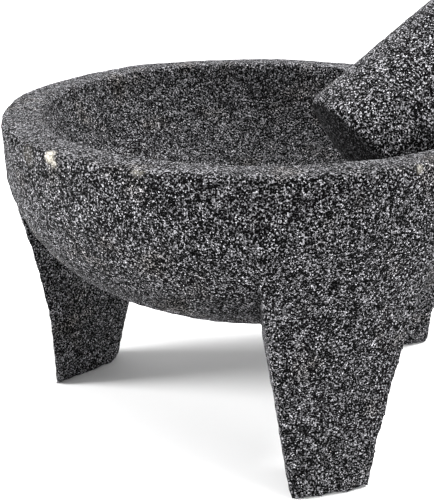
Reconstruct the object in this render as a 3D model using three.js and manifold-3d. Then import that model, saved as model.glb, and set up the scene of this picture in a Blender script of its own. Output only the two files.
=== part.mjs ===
// Molcajete: a three-legged mortar carved from one block of basalt, with its tejolote (pestle)
// leaning in the bowl. Millimetres, +Z up. The floor is at z = 0 and the origin lies under the
// middle of the whole object's box.

import * as THREE from 'three';
import { mergeVertices } from 'three/addons/utils/BufferGeometryUtils.js';
import Module from 'manifold-3d';

// ---- Driving dimensions of the bowl -------------------------------------------------------

const RIM_RADIUS = 102;        // outer edge of the flat-topped rim
const MOUTH_RADIUS = 87.8;     // inner edge of the rim
const MOUTH_OFFSET = [1.2, 0.8];  // the hand-cut hollow stands a little off the bowl's axis
const RIM_HEIGHT = 124.8;      // flat top of the rim above the floor
const RIM_ROUNDING = 1.0;      // worn edges of the rim
const SHOULDER_HEIGHT = 111;   // the wall is upright from here to the rim
const BELLY_DROP = 59.4;       // from the shoulder down to the underside of the bowl
const BELLY_SIDE = 3.5;        // superellipse powers of the belly's section
const BELLY_FALL = 1.9;
const CAVITY_DEPTH = 51.5;     // from the rim's top down to the grinding floor
const CAVITY_SIDE = 2;         // superellipse powers of the hollow's section
const CAVITY_FALL = 2;
const TURN_STEPS = 72;         // facets round the bowl
const SECTION_STEPS = 12;      // facets along each curved section
const EDGE_STEPS = 3;          // facets across each worn edge
const CUT_CLEARANCE = 10;      // how far the hollow's cutter stands above the rim

// ---- Driving dimensions of the legs -------------------------------------------------------

const LEG_FOOT_RADIUS = 91.2;      // outer face of a leg at the floor
const LEG_WAIST_RADIUS = 88.1;     // pull of the outer face's curve halfway up
const LEG_WAIST_HEIGHT = 50;
const LEG_CREST_RADIUS = 101.8;    // where the outer face runs into the upright wall
const LEG_CREST_HEIGHT = 99;
const LEG_BLANK_HEIGHT = 114;      // hidden inside the bowl's wall
const LEG_PIVOT_RADIUS = 90.3;     // each leg widens upward about this radius
const LEG_SPREAD_HEIGHT = 86;      // the leg is twice as wide at this height as at the floor
const LEG_OUTER_REACH = 30;        // blank stands proud of the outer face before it is trimmed

// Each leg, anticlockwise from above: the azimuth of its foot, how far it leans sideways for each
// millimetre of height, half the foot's width, and two control points of the curve round the
// foot's inner side, as distances inward from the pivot and sideways from the foot's middle.
const LEGS = [
  { azimuth: -73.75, lean: 0.034, halfWidth: 15.3, inner: [[-26, -15], [-26, 15]] },
  { azimuth: 39.4, lean: 0, halfWidth: 17.8, inner: [[-26, -15], [-26, 15]] },
  { azimuth: 171.4, lean: 0, halfWidth: 17.4, inner: [[-40, -25], [-9.5, 0.5]] },
];

// ---- Driving dimensions of the tejolote ---------------------------------------------------

const GRIND_RADIUS = 27.8;      // edge of the wide grinding end
const GRIND_DOME = 6.3;         // how far that end bulges
const GRIND_EDGE = 2.6;         // rounding between the dome and the side
const GRIND_EDGE_TURN = 70;     // degrees that the rounding turns through
const SHANK_LENGTH = 106;       // from the grinding edge to the start of the rounded top
const SHANK_SWELL = 0.3;        // how far the side bows out between its ends
const TOP_RADIUS = 17.0;
const TOP_DOME = 10;
const TEJOLOTE_STEPS = 40;      // facets round it
const DOME_STEPS = 5;           // facets along the grinding dome
const SHANK_STEPS = 5;
const TOP_STEPS = 6;
const TEJOLOTE_AZIMUTH = 21;    // direction it leans in
const TEJOLOTE_ELEVATION = 41.5;
const TEJOLOTE_FOOT = [38.2, -35.7, 114.8];   // middle of the grinding edge, from the bowl's axis

const STONE_COLOUR = 0x4b4a4d;
const STONE_ROUGHNESS = 0.93;

// ---- Solids from geometries ---------------------------------------------------------------

const wasm = await Module();
wasm.setup();

function radians(degrees) {
  return THREE.MathUtils.degToRad(degrees);
}

// A closed, indexed copy of a geometry: shared vertices merged and collapsed triangles dropped.
function closed(geometry) {
  const bare = geometry.clone();
  bare.deleteAttribute('normal');
  bare.deleteAttribute('uv');
  const merged = mergeVertices(bare, 1e-4);
  const index = merged.index.array;
  const kept = [];
  for (let i = 0; i < index.length; i += 3) {
    const [a, b, c] = [index[i], index[i + 1], index[i + 2]];
    if (a !== b && b !== c && c !== a) {
      kept.push(a, b, c);
    }
  }
  merged.setIndex(kept);
  return merged;
}

function solid(geometry) {
  const mesh = closed(geometry);
  return new wasm.Manifold(new wasm.Mesh({
    numProp: 3,
    vertProperties: new Float32Array(mesh.attributes.position.array),
    triVerts: new Uint32Array(mesh.index.array),
  }));
}

function geometryOf(manifold) {
  const mesh = manifold.getMesh();
  const geometry = new THREE.BufferGeometry();
  geometry.setAttribute('position', new THREE.BufferAttribute(mesh.vertProperties, 3));
  geometry.setIndex(new THREE.BufferAttribute(mesh.triVerts, 1));
  geometry.computeVertexNormals();
  return geometry;
}

// Turns a profile of (radius, height) points about +Z.
function turned(points, steps) {
  const geometry = new THREE.LatheGeometry(points, steps);
  geometry.rotateX(Math.PI / 2);
  return geometry;
}

// Points on a quarter of a superellipse, from (radius, 0) to (0, drop), as (radius, depth).
function superQuarter(radius, drop, side, fall) {
  const points = [];
  for (let i = 0; i <= SECTION_STEPS; i += 1) {
    const angle = (Math.PI / 2) * (i / SECTION_STEPS);
    const across = i === SECTION_STEPS ? 0 : radius * Math.cos(angle) ** (2 / side);
    const down = drop * Math.sin(angle) ** (2 / fall);
    points.push(new THREE.Vector2(across, down));
  }
  return points;
}

// A quarter round between two straight runs, from startAngle to endAngle in degrees.
function quarterRound(centreX, centreY, radius, startAngle, endAngle) {
  const arc = new THREE.Path();
  arc.absarc(centreX, centreY, radius, radians(startAngle), radians(endAngle), endAngle < startAngle);
  return arc.getPoints(EDGE_STEPS);
}

// ---- The mortar ---------------------------------------------------------------------------

function bowlBlock() {
  const belly = superQuarter(RIM_RADIUS, BELLY_DROP, BELLY_SIDE, BELLY_FALL)
    .map((p) => new THREE.Vector2(p.x, SHOULDER_HEIGHT - p.y))
    .reverse();
  const rim = quarterRound(RIM_RADIUS - RIM_ROUNDING, RIM_HEIGHT - RIM_ROUNDING, RIM_ROUNDING, 0, 90);
  return solid(turned([...belly, ...rim, new THREE.Vector2(0, RIM_HEIGHT)], TURN_STEPS));
}

// The hollow, with a lip that opens the mouth and rounds the rim's inner edge.
function cavityCut() {
  const hollow = superQuarter(MOUTH_RADIUS, CAVITY_DEPTH, CAVITY_SIDE, CAVITY_FALL)
    .map((p) => new THREE.Vector2(p.x, RIM_HEIGHT - p.y))
    .filter((p) => p.y < RIM_HEIGHT - RIM_ROUNDING)
    .reverse();
  const lip = quarterRound(MOUTH_RADIUS + RIM_ROUNDING, RIM_HEIGHT - RIM_ROUNDING, RIM_ROUNDING, 180, 90);
  const above = RIM_HEIGHT + CUT_CLEARANCE;
  const top = [new THREE.Vector2(MOUTH_RADIUS + RIM_ROUNDING, above), new THREE.Vector2(0, above)];
  const cutter = turned([...hollow, ...lip, ...top], TURN_STEPS);
  cutter.translate(MOUTH_OFFSET[0], MOUTH_OFFSET[1], 0);
  return solid(cutter);
}

// The surface of revolution that all three legs' outer faces lie on.
function legEnvelope() {
  const face = new THREE.QuadraticBezierCurve(
    new THREE.Vector2(LEG_FOOT_RADIUS, 0),
    new THREE.Vector2(LEG_WAIST_RADIUS, LEG_WAIST_HEIGHT),
    new THREE.Vector2(LEG_CREST_RADIUS, LEG_CREST_HEIGHT),
  ).getPoints(SECTION_STEPS - 2);
  const below = new THREE.Vector2(0, 0);
  const crest = new THREE.Vector2(LEG_CREST_RADIUS, LEG_BLANK_HEIGHT);
  const above = new THREE.Vector2(0, LEG_BLANK_HEIGHT);
  return solid(turned([below, ...face, crest, above], TURN_STEPS));
}

// One leg before its outer face is trimmed: its foot's plan, widening upward about the pivot.
function legBlank(leg) {
  const [first, second] = leg.inner;
  const plan = new THREE.Shape();
  plan.moveTo(LEG_OUTER_REACH, -leg.halfWidth);
  plan.lineTo(LEG_OUTER_REACH, leg.halfWidth);
  plan.lineTo(0, leg.halfWidth);
  plan.bezierCurveTo(second[0], second[1], first[0], first[1], 0, -leg.halfWidth);
  plan.closePath();
  const geometry = new THREE.ExtrudeGeometry(plan, {
    depth: LEG_BLANK_HEIGHT, bevelEnabled: false, curveSegments: SECTION_STEPS,
  });
  const position = geometry.attributes.position;
  for (let i = 0; i < position.count; i += 1) {
    const height = position.getZ(i);
    const spread = 1 + height / LEG_SPREAD_HEIGHT;
    position.setX(i, position.getX(i) * spread);
    position.setY(i, position.getY(i) * spread + height * leg.lean);
  }
  geometry.translate(LEG_PIVOT_RADIUS, 0, 0);
  geometry.rotateZ(radians(leg.azimuth));
  return solid(geometry);
}

function mortarGeometry() {
  const envelope = legEnvelope();
  let block = bowlBlock();
  for (const leg of LEGS) {
    block = block.add(legBlank(leg).intersect(envelope));
  }
  return geometryOf(block.subtract(cavityCut()));
}

// ---- The tejolote -------------------------------------------------------------------------

// Turned about +Z with its grinding edge at z = 0, wide end down.
function tejoloteGeometry() {
  const dome = [];
  for (let i = 0; i < DOME_STEPS; i += 1) {
    const across = (i / DOME_STEPS) * (GRIND_RADIUS - GRIND_EDGE);
    dome.push(new THREE.Vector2(across, -GRIND_DOME * (1 - (across / GRIND_RADIUS) ** 2)));
  }
  const edge = quarterRound(GRIND_RADIUS - GRIND_EDGE, GRIND_EDGE / 2, GRIND_EDGE, -GRIND_EDGE_TURN, 0);
  const shank = [];
  for (let i = 1; i < SHANK_STEPS; i += 1) {
    const along = i / SHANK_STEPS;
    const straight = THREE.MathUtils.lerp(GRIND_RADIUS, TOP_RADIUS, along);
    const swell = SHANK_SWELL * Math.sin(Math.PI * along);
    shank.push(new THREE.Vector2(straight + swell, SHANK_LENGTH * along));
  }
  const crown = [];
  for (let i = 0; i <= TOP_STEPS; i += 1) {
    const angle = (Math.PI / 2) * (i / TOP_STEPS);
    const across = i === TOP_STEPS ? 0 : TOP_RADIUS * Math.cos(angle);
    crown.push(new THREE.Vector2(across, SHANK_LENGTH + TOP_DOME * Math.sin(angle)));
  }
  return closed(turned([...dome, ...edge, ...shank, ...crown], TEJOLOTE_STEPS));
}

// ---- Assembly -----------------------------------------------------------------------------

function basalt() {
  return new THREE.MeshStandardMaterial({
    color: STONE_COLOUR, roughness: STONE_ROUGHNESS, metalness: 0,
  });
}

function namedMesh(name, geometry) {
  const mesh = new THREE.Mesh(geometry, basalt());
  mesh.name = name;
  return mesh;
}

const mortar = namedMesh('mortar', mortarGeometry());

const lean = new THREE.Group();
lean.position.set(...TEJOLOTE_FOOT);
lean.rotation.set(0, radians(90 - TEJOLOTE_ELEVATION), radians(TEJOLOTE_AZIMUTH), 'ZYX');
lean.add(namedMesh('tejolote', tejoloteGeometry()));

const group = new THREE.Group();
group.add(mortar, lean);

// The whole object is centred over the origin.
const middle = new THREE.Box3().setFromObject(group, true).getCenter(new THREE.Vector3());
group.position.set(-middle.x, -middle.y, 0);

export default group;
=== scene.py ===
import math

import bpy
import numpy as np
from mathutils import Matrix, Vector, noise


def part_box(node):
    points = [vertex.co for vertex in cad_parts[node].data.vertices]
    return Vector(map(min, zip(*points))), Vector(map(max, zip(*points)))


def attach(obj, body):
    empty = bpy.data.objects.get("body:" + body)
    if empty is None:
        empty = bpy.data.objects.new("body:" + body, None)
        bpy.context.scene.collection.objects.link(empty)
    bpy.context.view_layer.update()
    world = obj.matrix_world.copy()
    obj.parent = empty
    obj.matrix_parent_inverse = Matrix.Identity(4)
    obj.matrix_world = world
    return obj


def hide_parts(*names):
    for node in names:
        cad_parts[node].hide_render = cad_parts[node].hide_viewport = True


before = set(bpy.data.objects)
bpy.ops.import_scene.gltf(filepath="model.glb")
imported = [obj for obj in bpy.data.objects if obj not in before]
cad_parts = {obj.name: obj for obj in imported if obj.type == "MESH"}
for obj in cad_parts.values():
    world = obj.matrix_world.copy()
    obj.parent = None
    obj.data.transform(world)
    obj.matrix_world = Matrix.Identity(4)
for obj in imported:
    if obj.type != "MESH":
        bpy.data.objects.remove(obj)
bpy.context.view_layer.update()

# A basalt molcajete and its tejolote. Both stones start from their CAD solids, which give them
# their place and proportions. They are remeshed finely, their edges are worn, and their faces are
# pitted and made uneven as hand-dressed vesicular stone is. Metres throughout.

MM = 0.001

# ---- Places taken from the frame ----------------------------------------------------------

mortar_low, mortar_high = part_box("mortar")
AXIS = Vector(((mortar_low.x + mortar_high.x) / 2, (mortar_low.y + mortar_high.y) / 2, 0))
RIM_RADIUS = (mortar_high.x - mortar_low.x) / 2
RIM_HEIGHT = mortar_high.z

# ---- Camera -------------------------------------------------------------------------------

CAMERA_DISTANCE = 4.056      # in rim radii, from the bowl's axis
CAMERA_HEIGHT = 2.1206       # in rim radii, above the floor
CAMERA_PITCH = 20.34         # degrees below the horizon
CAMERA_LENS = 75.34          # millimetres, on a 36 mm sensor
CAMERA_SHIFT = -0.09         # the bowl stands to the right of the picture's middle


def make_camera():
    data = bpy.data.cameras.new("camera")
    data.sensor_width = 36
    data.lens = CAMERA_LENS
    data.shift_x = CAMERA_SHIFT
    camera = bpy.data.objects.new("camera", data)
    camera.location = AXIS + Vector((0, -CAMERA_DISTANCE * RIM_RADIUS, CAMERA_HEIGHT * RIM_RADIUS))
    camera.rotation_euler = (math.radians(90 - CAMERA_PITCH), 0, 0)
    bpy.context.collection.objects.link(camera)
    bpy.context.scene.camera = camera


make_camera()

# ---- Floor and light ----------------------------------------------------------------------


def area_light(name, place, size, power):
    """A round soft light, aimed at the bowl; its place is in metres from the bowl's axis."""
    data = bpy.data.lights.new(name, "AREA")
    data.shape = "DISK"
    data.size = size
    data.energy = power
    light = bpy.data.objects.new(name, data)
    light.location = AXIS + Vector(place)
    aim = AXIS + Vector((0, 0, RIM_HEIGHT * 0.6)) - light.location
    light.rotation_euler = aim.to_track_quat("-Z", "Y").to_euler()
    bpy.context.collection.objects.link(light)


FLOOR_HALF = 6.0             # metres from its middle to its sides
FLOOR_DROP = 0.02 * MM       # the feet stand just clear of it
FLOOR_COLOUR = (0.92, 0.92, 0.92, 1)
FLOOR_ROUGHNESS = 0.9
WORLD_STRENGTH = 0.7


def make_floor():
    half = FLOOR_HALF
    mesh = bpy.data.meshes.new("floor")
    corners = [(-half, -half, 0), (half, -half, 0), (half, half, 0), (-half, half, 0)]
    mesh.from_pydata(corners, [], [(0, 1, 2, 3)])
    floor = bpy.data.objects.new("floor", mesh)
    floor.location.z = -FLOOR_DROP
    bpy.context.collection.objects.link(floor)
    material = bpy.data.materials.new("floor")
    material.use_nodes = True
    shader = material.node_tree.nodes["Principled BSDF"]
    shader.inputs["Base Color"].default_value = FLOOR_COLOUR
    shader.inputs["Roughness"].default_value = FLOOR_ROUGHNESS
    mesh.materials.append(material)


def make_world():
    world = bpy.data.worlds.new("studio")
    world.use_nodes = True
    background = world.node_tree.nodes["Background"]
    background.inputs["Color"].default_value = (1, 1, 1, 1)
    background.inputs["Strength"].default_value = WORLD_STRENGTH
    bpy.context.scene.world = world
    bpy.context.scene.view_settings.view_transform = "Standard"


make_world()
make_floor()
area_light("left", (-1.3, -0.1, 0.5), 0.5, 37)
area_light("key", (0.8, 0.3, 1.1), 0.6, 42)
area_light("right", (1.2, -0.9, 0.3), 0.7, 13)

# ---- Stone shaping ------------------------------------------------------------------------


class Stone:
    """One piece of stone: its mesh, with the vertices and their neighbours held as arrays."""

    def __init__(self, name, node, voxel):
        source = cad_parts[node]
        draft = bpy.data.objects.new(name + "_draft", source.data.copy())
        bpy.context.collection.objects.link(draft)
        remesh = draft.modifiers.new("remesh", "REMESH")
        remesh.mode = "VOXEL"
        remesh.voxel_size = voxel
        remesh.use_smooth_shade = True
        graph = bpy.context.evaluated_depsgraph_get()
        self.mesh = bpy.data.meshes.new_from_object(draft.evaluated_get(graph))
        self.mesh.name = name
        self.mesh.materials.clear()
        bpy.data.objects.remove(draft)
        self.count = len(self.mesh.vertices)
        flat = np.empty(self.count * 3)
        self.mesh.vertices.foreach_get("co", flat)
        self.points = flat.reshape(-1, 3)
        pairs = np.empty(len(self.mesh.edges) * 2, dtype=np.int64)
        self.mesh.edges.foreach_get("vertices", pairs)
        pairs = pairs.reshape(-1, 2)
        self.ends = np.concatenate([pairs[:, 0], pairs[:, 1]])
        self.others = np.concatenate([pairs[:, 1], pairs[:, 0]])
        self.valence = np.bincount(self.ends, minlength=self.count)

    def average(self, values):
        """The mean of each vertex's neighbours."""
        if values.ndim == 1:
            return np.bincount(self.ends, values[self.others], self.count) / self.valence
        return np.stack([self.average(values[:, k]) for k in range(values.shape[1])], axis=1)

    def smooth(self):
        self.points += (self.average(self.points) - self.points) * 0.5

    def blur(self, values, rounds):
        for _ in range(rounds):
            values = 0.5 * values + 0.5 * self.average(values)
        return values

    def store(self):
        self.mesh.vertices.foreach_set("co", self.points.ravel())
        self.mesh.update()

    def normals(self):
        self.store()
        flat = np.empty(self.count * 3)
        self.mesh.vertex_normals.foreach_get("vector", flat)
        return flat.reshape(-1, 3)

    def bulge(self, rounds):
        """How far each vertex stands out from its surroundings: positive on ridges and corners."""
        return ((self.points - self.blur(self.points, rounds)) * self.normals()).sum(axis=1)

    def attribute(self, name, values):
        layer = self.mesh.attributes.new(name, "FLOAT", "POINT")
        layer.data.foreach_set("value", values.astype(np.float32))

    def finish(self, material, body, node):
        self.store()
        self.mesh.materials.append(material)
        self.mesh.polygons.foreach_set("use_smooth", [True] * len(self.mesh.polygons))
        piece = bpy.data.objects.new(self.mesh.name, self.mesh)
        bpy.context.collection.objects.link(piece)
        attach(piece, body)
        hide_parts(node)


def rough(points, size, octaves=3, seed=0.0):
    """Fractal noise, about -1 to 1, with features of the given size."""
    shift = Vector((seed, seed * 1.7, -seed))
    scale = 1 / size
    return np.array([noise.fractal(Vector(p) * scale + shift, 0.8, 2.1, octaves) for p in points])


def pits(points, spacing, radius, share, seed=0.0):
    """0 on the face and 1 at the bottom of round pits, which only a share of the cells have."""
    shift = Vector((seed, -seed, seed * 0.6))
    depth = np.zeros(len(points))
    for i, p in enumerate(points):
        distances, centres = noise.voronoi(Vector(p) / spacing + shift)
        chance = noise.cell(centres[0] * 3.7 + shift)
        if chance < share:
            reach = radius * (0.55 + 0.45 * chance / share)
            depth[i] = max(0.0, 1 - (distances[0] * spacing / reach) ** 2)
    return depth


def steps(low, high, values):
    t = np.clip((values - low) / (high - low), 0, 1)
    return t * t * (3 - 2 * t)


# ---- Basalt -------------------------------------------------------------------------------


class Nodes:
    """A short way to write a node tree."""

    def __init__(self, name):
        self.material = bpy.data.materials.new(name)
        self.material.use_nodes = True
        self.tree = self.material.node_tree
        self.shader = self.tree.nodes["Principled BSDF"]
        self.place = self.tree.nodes.new("ShaderNodeTexCoord").outputs["Object"]

    def link(self, source, target):
        self.tree.links.new(source, target)

    def node(self, kind, inputs=None, **settings):
        made = self.tree.nodes.new(kind)
        for key, value in settings.items():
            setattr(made, key, value)
        for key, value in (inputs or {}).items():
            if isinstance(value, bpy.types.NodeSocket):
                self.link(value, made.inputs[key])
            else:
                made.inputs[key].default_value = value
        return made

    def noise(self, size, detail):
        """Smooth noise with features of the given size."""
        inputs = {"Vector": self.place, "Scale": 1 / size, "Detail": detail, "Roughness": 0.5}
        return self.node("ShaderNodeTexNoise", inputs)

    def cells(self, size, where):
        """Cells of the given size, and each cell's three chances, from 0 to 1."""
        cells = self.node("ShaderNodeTexVoronoi", {"Vector": where, "Scale": 1 / size})
        chances = self.node("ShaderNodeSeparateColor", {"Color": cells.outputs["Color"]})
        return cells.outputs["Distance"], chances.outputs

    def moved(self, operation, vector, amount):
        """A vector plus or minus another, or scaled by a number."""
        key = "Scale" if operation == "SCALE" else 1
        inputs = {0: vector, key: amount}
        return self.node("ShaderNodeVectorMath", inputs, operation=operation).outputs[0]

    def math(self, operation, a, b=0.0, c=0.0):
        made = self.node("ShaderNodeMath", operation=operation)
        for socket, value in zip(made.inputs, (a, b, c)):
            if isinstance(value, bpy.types.NodeSocket):
                self.link(value, socket)
            else:
                socket.default_value = value
        return made.outputs[0]

    def spread(self, value, low, high, to_low=0.0, to_high=1.0):
        return self.node("ShaderNodeMapRange", {
            "Value": value, "From Min": low, "From Max": high, "To Min": to_low, "To Max": to_high,
        }).outputs["Result"]

    def mix(self, factor, a, b, blend="MIX"):
        made = self.node("ShaderNodeMix", {0: factor}, data_type="RGBA", blend_type=blend)
        for index, value in ((6, a), (7, b)):
            if isinstance(value, bpy.types.NodeSocket):
                self.link(value, made.inputs[index])
            else:
                made.inputs[index].default_value = (*value, 1)
        return made.outputs[2]

    def attribute(self, name):
        return self.node("ShaderNodeAttribute", attribute_name=name).outputs["Fac"]


PORE = 0.70 * MM             # spacing of the fine pores
PORE_RADIUS = (0.41, 0.79)   # of the spacing: the smallest and the largest
PORE_SOFTNESS = 0.07
GLINT = 0.72 * MM            # spacing of the pale crystals
GLINT_RADIUS = 0.36          # of the spacing: the largest
GLINT_SHARE = 0.45           # this share of the cells has none
GLINT_COLOUR = 0.85
CRYSTAL = 0.42 * MM          # size of the grains of the dark grey stone between them
CRYSTAL_COLOUR = (0.012, 0.562)   # the darkest and the palest
CRYSTAL_SKEW = 2.2           # most of the grains are dark
CLOT = 3.5 * MM              # denser and more open patches
HOLE = 5.5 * MM              # spacing of the larger holes, painted dark as the shade inside them
HOLE_RADIUS = 0.27           # of the spacing: the largest
HOLE_SHARE = 0.45            # this share of the cells has none
# How much the painted shade in the larger holes, the single pits and the crease darkens the stone.
HOLE_SHADE = 0.75
# How much the painted shade on the grinding end, and the painted shadow with some stain in the
# hollow, darken the stone.
STAIN_AND_SHADE_DARKENING = 0.75
TINT = 17 * MM               # size of the faintly cool and warm patches
COOL_TINT = (0.985, 0.975, 1.03)
WARM_TINT = (1.04, 0.96, 0.90)
INCLUSION_COLOUR = (0.74, 0.70, 0.60)
WARP = 0.9 * MM              # the cells are bent by noise of this size, to be less regular
WARP_REACH = 0.6 * MM
GLINT_OFFSET = (0.31, 0.17, 0.23)
BUMP_STRENGTH = 0.7
BUMP_HEIGHT = 0.4 * MM
PORE_SHADE = 0.001           # the colour at the bottom of a pore: painted shade, near black
STONE_ROUGHNESS = 0.92
GLINT_ROUGHNESS = 0.45
SHINE = 0.05                 # the shader's specular level


def basalt(name, tone):
    """Dark vesicular stone, whose look changes with attributes of the mesh.

    dressed: rubbed flat, as on the rim      worn: on a chipped edge
    stain_and_shade: painted shade on the tejolote's grinding end, and painted shadow with some
    grinding stain in the hollow
    pitted: inside a single pit or along the crease, darkened there by painted shade
    mark: how pale an inclusion is
    """
    n = Nodes(name)
    dressed = n.attribute("dressed")
    worn = n.attribute("worn")
    mark = n.attribute("mark")
    stain_and_shade = n.attribute("stain_and_shade")
    pitted = n.attribute("pitted")

    wobble = n.noise(WARP, 2.0).outputs["Color"]
    offset = n.moved("SUBTRACT", wobble, (0.5, 0.5, 0.5))
    small = n.moved("SCALE", offset, WARP_REACH)
    bent = n.moved("ADD", n.place, small)
    clots = n.math("SUBTRACT", n.noise(CLOT, 3.0).outputs["Fac"], 0.5)

    distance, luck = n.cells(PORE, bent)
    smallest, largest = PORE_RADIUS
    pore_radius = n.math("MULTIPLY_ADD", luck[0], largest - smallest, smallest)
    pore_radius = n.math("MULTIPLY_ADD", clots, 0.35, pore_radius)
    pore_radius = n.math("MULTIPLY_ADD", dressed, -0.06, pore_radius)
    solid = n.spread(n.math("SUBTRACT", distance, pore_radius), -PORE_SOFTNESS, PORE_SOFTNESS)

    distance, luck = n.cells(GLINT, n.moved("ADD", bent, GLINT_OFFSET))
    glint_radius = n.spread(luck[1], GLINT_SHARE, 1.0, 0.0, GLINT_RADIUS)
    glint = n.spread(n.math("SUBTRACT", distance, glint_radius), -0.08, 0.04, 1.0, 0.0)
    glint = n.math("MULTIPLY", glint, n.math("MULTIPLY_ADD", dressed, -0.35, 1.0))

    distance, luck = n.cells(HOLE, bent)
    hole_radius = n.spread(luck[0], HOLE_SHARE, 1.0, 0.0, HOLE_RADIUS)
    hole = n.spread(n.math("SUBTRACT", distance, hole_radius), -0.09, 0.0, 1.0, 0.0)
    hole = n.math("MULTIPLY", hole, n.math("SUBTRACT", 1.0, dressed))
    # Painted shade: the single pits and the crease are darkened like the holes.
    hole = n.math("MAXIMUM", hole, pitted)

    _, luck = n.cells(CRYSTAL, bent)
    grain = luck[2]
    darkest, palest = CRYSTAL_COLOUR
    body = n.math("MULTIPLY_ADD", n.math("POWER", grain, CRYSTAL_SKEW), palest - darkest, darkest)
    body = n.math("MULTIPLY", body, n.math("MULTIPLY_ADD", clots, -0.8, 1.0))
    body = n.math("MULTIPLY", body, n.math("MULTIPLY_ADD", dressed, 0.1, 1.0))
    body = n.math("MULTIPLY", body, n.math("MULTIPLY_ADD", worn, 0.35, 1.0))

    # The pores are painted near black: painted shade inside them.
    value = n.math("MULTIPLY_ADD", solid, body, PORE_SHADE)
    value = n.math("MULTIPLY_ADD", glint, GLINT_COLOUR, value)
    # Painted shade: the larger holes, the single pits and the crease are painted darker.
    value = n.math("MULTIPLY", value, n.math("MULTIPLY_ADD", hole, -HOLE_SHADE, 1.0))
    # Painted shade: the tejolote's shaded grinding end is darkened, and so is the hollow where its
    # shadow falls, which also holds some grinding stain.
    value = n.math("MULTIPLY", value, n.math("MULTIPLY_ADD", stain_and_shade, -STAIN_AND_SHADE_DARKENING * tone, tone))
    grey = n.node("ShaderNodeCombineColor", {0: value, 1: value, 2: value}).outputs[0]

    patches = n.noise(TINT, 3.0).outputs["Fac"]
    tint = n.mix(n.spread(patches, 0.56, 0.8), COOL_TINT, WARM_TINT)
    colour = n.mix(1.0, grey, tint, "MULTIPLY")
    speckle = n.math("MULTIPLY", mark, n.spread(grain, 0.1, 0.7, 0.4, 1.0))
    colour = n.mix(speckle, colour, INCLUSION_COLOUR)
    n.link(colour, n.shader.inputs["Base Color"])

    height = n.math("MULTIPLY_ADD", grain, 0.35, solid)
    bump = n.node("ShaderNodeBump", {
        "Height": height, "Strength": BUMP_STRENGTH, "Distance": BUMP_HEIGHT,
    })
    n.link(bump.outputs["Normal"], n.shader.inputs["Normal"])
    roughness = n.spread(glint, 0.0, 1.0, STONE_ROUGHNESS, GLINT_ROUGHNESS)
    n.link(roughness, n.shader.inputs["Roughness"])
    n.shader.inputs["Specular IOR Level"].default_value = SHINE
    return n.material


# ---- The two stones -----------------------------------------------------------------------

MORTAR_VOXEL = 1.36 * MM
TEJOLOTE_VOXEL = 1.15 * MM
CHIP_SIZE = 5 * MM           # length of the chips along the edges
LEG_CHIPS = 1.1 * MM         # their depth on the feet and the legs
RIM_CHIPS = 0.2 * MM
TEJOLOTE_CHIPS = 0.3 * MM
PIT_SPACING = 7 * MM
MORTAR_TONE = 0.66
TEJOLOTE_TONE = 0.9
TEJOLOTE_AZIMUTH = 21        # degrees: the direction it leans in
TEJOLOTE_ELEVATION = 41.5    # degrees
TEJOLOTE_REST = (34 * MM, -30 * MM, 92 * MM)   # from the bowl's axis to where it rests
SHADOW_AND_STAIN_REACH = 60 * MM        # painted shadow of the tejolote, with some grinding stain: the hollow is darkest where it rests, and paler away from it
RIM_RISE = 1.3 * MM          # the rim is hand cut, and stands a little high at its left rear
RIM_RISE_AZIMUTH = 126       # degrees
RIM_RISE_DEPTH = 30 * MM     # the rise fades out this far below the rim

# Pale inclusions in the rim: azimuth in degrees, distance below the rim's top, radius, paleness.
INCLUSIONS = [
    (-135.0, 1.2 * MM, 2.3 * MM, 0.9),
    (-133.6, 3.2 * MM, 1.4 * MM, 0.5),
    (-143.0, 4.0 * MM, 3.6 * MM, 0.06),
    (-113.5, 0.5 * MM, 1.2 * MM, 0.4),
    (-112.2, 0.8 * MM, 1.0 * MM, 0.35),
    (-60.0, 1.0 * MM, 1.2 * MM, 0.35),
]

# Single deep pits in the wall, on both of its faces: azimuth in degrees, height, radius. They are
# also painted dark: painted shade inside them.
WALL_PITS = [
    (-90.4, 106.4 * MM, 1.7 * MM),
    (-97.1, 112.5 * MM, 1.6 * MM),
    (-81.2, 116.0 * MM, 1.5 * MM),
    (-76.0, 86.0 * MM, 2.2 * MM),
    (-103.0, 98.0 * MM, 1.8 * MM),
]
PIT_DEPTH = 1.2 * MM

# The tool mark where the front leg's left side runs up into the wall, which also shows on the
# wall's inner face: azimuth in degrees and height, from the top down. Its groove is also painted
# darker along its line: painted shade.
CREASE = [(-91.7, 95 * MM), (-91.2, 84 * MM), (-90.8, 64 * MM)]
CREASE_WIDTH = 1.5 * MM
CREASE_DEPTH = 0.9 * MM


def on_wall(points):
    """The azimuth in degrees, the height and the distance from the bowl's axis of each point."""
    azimuth = np.degrees(np.arctan2(points[:, 1] - AXIS.y, points[:, 0] - AXIS.x))
    across = np.hypot(points[:, 0] - AXIS.x, points[:, 1] - AXIS.y)
    return azimuth, points[:, 2], across


def wall_pits(points):
    """1 in the middle of each single pit and 0 on the face around it."""
    azimuth, height, across = on_wall(points)
    depth = np.zeros(len(points))
    for at, up, radius in WALL_PITS:
        aside = across * np.radians(azimuth - at)
        distance = np.hypot(aside, height - up)
        depth = np.maximum(depth, 1 - steps(0.3 * radius, 1.3 * radius, distance))
    return depth


def crease(points):
    """1 along the tool mark's line and 0 beside it."""
    azimuth, height, across = on_wall(points)
    heights = [up for _, up in reversed(CREASE)]
    line = np.interp(height, heights, [at for at, _ in reversed(CREASE)])
    aside = across * np.radians(azimuth - line)
    fade = steps(heights[0] - 4 * MM, heights[0] + 4 * MM, height)
    fade *= 1 - steps(heights[-1] - 14 * MM, heights[-1], height)
    return fade * np.exp(-(aside / CREASE_WIDTH) ** 2)


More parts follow.
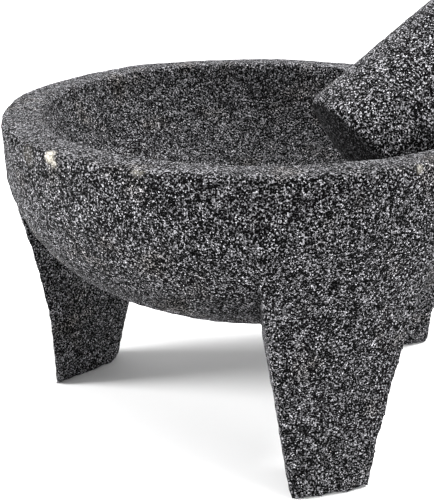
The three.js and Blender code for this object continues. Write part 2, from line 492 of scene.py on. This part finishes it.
def inclusion_marks(points):
    """How pale each point is made by the inclusions in the rim."""
    marks = np.zeros(len(points))
    for azimuth, drop, radius, paleness in INCLUSIONS:
        angle = math.radians(azimuth)
        x = RIM_RADIUS * math.cos(angle)
        y = RIM_RADIUS * math.sin(angle)
        place = AXIS + Vector((x, y, RIM_HEIGHT - drop))
        distance = np.linalg.norm(points - np.array(place), axis=1)
        marks = np.maximum(marks, paleness * (1 - steps(0.5 * radius, 1.4 * radius, distance)))
    return marks


def raise_rim(points):
    """Lifts the rim on one side, less and less further down."""
    azimuth = np.arctan2(points[:, 1] - AXIS.y, points[:, 0] - AXIS.x)
    facing = np.maximum(0, np.cos(azimuth - math.radians(RIM_RISE_AZIMUTH))) ** 2
    fade = steps(RIM_HEIGHT - RIM_RISE_DEPTH, RIM_HEIGHT, points[:, 2])
    points[:, 2] += RIM_RISE * facing * fade


def chip_edges(stone, depth, seed):
    """Wears the arrises back unevenly, and returns how worn each vertex is."""
    bulge = stone.bulge(5)
    edge = steps(0.12 * MM, 0.45 * MM, bulge)
    loss = 0.1 + 0.9 * steps(0.0, 0.7, rough(stone.points, CHIP_SIZE, 2, seed))
    stone.points -= stone.normals() * (edge * loss * depth)[:, None]
    return edge


def in_hollow(points):
    """1 on the grinding surface inside the bowl, up to the rim's inner edge."""
    across = np.hypot(points[:, 0] - AXIS.x, points[:, 1] - AXIS.y)
    inside = across < 0.9 * RIM_RADIUS
    above = points[:, 2] > 0.56 * RIM_HEIGHT
    below = 1 - steps(RIM_HEIGHT - 1.5 * MM, RIM_HEIGHT - 0.5 * MM, points[:, 2])
    return inside * above * below


def shadow_and_stain_by_foot(points):
    """1 where the tejolote's grinding end rests, fading out round it: the reach of its painted
    shadow, with some grinding stain.
    """
    distance = np.linalg.norm(points - np.array(AXIS + Vector(TEJOLOTE_REST)), axis=1)
    return np.exp(-(distance / SHADOW_AND_STAIN_REACH) ** 1.3)


def make_mortar():
    stone = Stone("mortar_stone", "mortar", MORTAR_VOXEL)
    stone.smooth()
    above_legs = steps(RIM_HEIGHT - 12 * MM, RIM_HEIGHT - 6 * MM, stone.points[:, 2])
    depth = LEG_CHIPS - (LEG_CHIPS - RIM_CHIPS) * above_legs
    worn = chip_edges(stone, depth, 7.0) * (1 - above_legs)
    normals = stone.normals()
    points = stone.points
    dressed = steps(RIM_HEIGHT - 0.9 * MM, RIM_HEIGHT - 0.4 * MM, points[:, 2])
    marks = inclusion_marks(points)
    lift = 0.5 * MM * rough(points, 45 * MM, 2, 3.0)
    fine = 0.22 * MM * rough(points, 9 * MM, 3, 11.0)
    fine += 0.22 * MM * rough(points, 3.2 * MM, 2, 17.0)
    fine -= 0.9 * MM * pits(points, PIT_SPACING, 2.4 * MM, 0.5, 5.0)
    lift += fine * (1 - 0.6 * dressed)
    pitted = wall_pits(points)
    groove = crease(points)
    lift -= PIT_DEPTH * pitted + CREASE_DEPTH * groove
    stone.points = points + normals * lift[:, None]
    raise_rim(stone.points)
    stone.points[:, 2] = np.maximum(stone.points[:, 2], 0)
    stone.attribute("dressed", dressed)
    stone.attribute("worn", stone.blur(worn, 1))
    stone.attribute("mark", marks)
    # Painted shade: the single pits, and the crease at a lesser strength, are painted dark.
    stone.attribute("pitted", np.maximum(pitted, 0.6 * groove))
    # Painted shadow: the hollow is painted darker, most of all round where the tejolote rests,
    # standing in for its shadow along with some grinding stain.
    stone.attribute("stain_and_shade", in_hollow(points) * (0.05 + 0.95 * shadow_and_stain_by_foot(points)))
    stone.finish(basalt("basalt_mortar", MORTAR_TONE), "mortar", "mortar")


def on_grinding_end(normals):
    """1 on the domed end, whose normals run close to the tejolote's axis."""
    azimuth = math.radians(TEJOLOTE_AZIMUTH)
    elevation = math.radians(TEJOLOTE_ELEVATION)
    level = math.cos(elevation)
    down = -np.array([level * math.cos(azimuth), level * math.sin(azimuth), math.sin(elevation)])
    return steps(0.66, 0.8, normals @ down)


def make_tejolote():
    stone = Stone("tejolote_stone", "tejolote", TEJOLOTE_VOXEL)
    stone.smooth()
    worn = chip_edges(stone, TEJOLOTE_CHIPS, 27.0)
    normals = stone.normals()
    points = stone.points
    lift = 0.3 * MM * rough(points, 40 * MM, 2, 23.0)
    lift += 0.15 * MM * rough(points, 8 * MM, 3, 31.0)
    lift += 0.15 * MM * rough(points, 3.2 * MM, 2, 37.0)
    lift -= 0.6 * MM * pits(points, PIT_SPACING, 2.0 * MM, 0.4, 35.0)
    stone.points = points + normals * lift[:, None]
    stone.attribute("worn", stone.blur(worn, 1))
    # Painted shade: the domed grinding end faces down into the bowl, and is painted darker as its
    # shade.
    stone.attribute("stain_and_shade", 1.1 * on_grinding_end(normals))
    material = basalt("basalt_tejolote", TEJOLOTE_TONE)
    stone.finish(material, "tejolote", "tejolote")


make_mortar()
make_tejolote()
